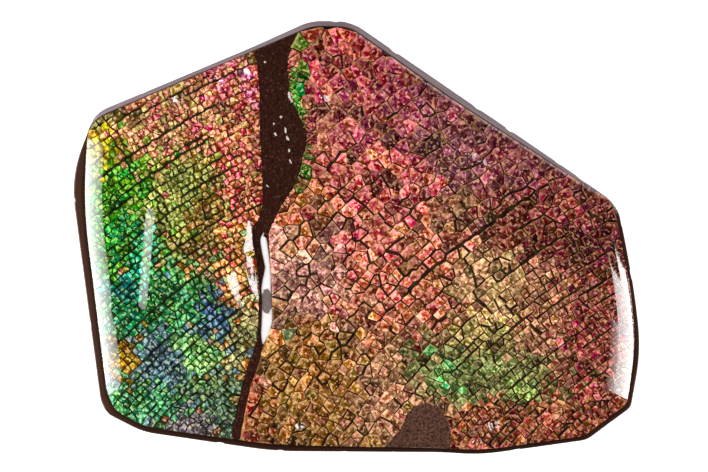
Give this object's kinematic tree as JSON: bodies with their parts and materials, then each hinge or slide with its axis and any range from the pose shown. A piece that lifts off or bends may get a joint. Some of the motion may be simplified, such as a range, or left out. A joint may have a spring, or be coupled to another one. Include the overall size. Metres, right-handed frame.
{
  "type": "ammolite specimen",
  "caption": "Free-form polished ammolite: iridescent fossil ammonite shell in sheets on a dark ironstone matrix, ground walls, low domed face and a flat sawn back.",
  "frame": {"origin": "middle of the sawn back's bounding box, on the surface that the specimen lies on", "axes": "+X to the right across the long way of the face, +Y up the face towards its peak, +Z out of the polished face"},
  "size_m": [0.064, 0.049, 0.0085],
  "materials": {
    "ironstone": "dark chocolate brown, polished with a clear gloss, sawn matt at the back",
    "ammolite_left": "polished iridescent shell, crackled in small tiles, green with orange, rose, blue and violet",
    "ammolite_right": "polished iridescent shell, crackled in small tiles, red and salmon with gold and green"
  },
  "bodies": {
    "root": {"matrix_stone": "ironstone", "ammolite_sheet_left": "ammolite_left", "ammolite_sheet_right": "ammolite_right"}
  },
  "joints": []
}
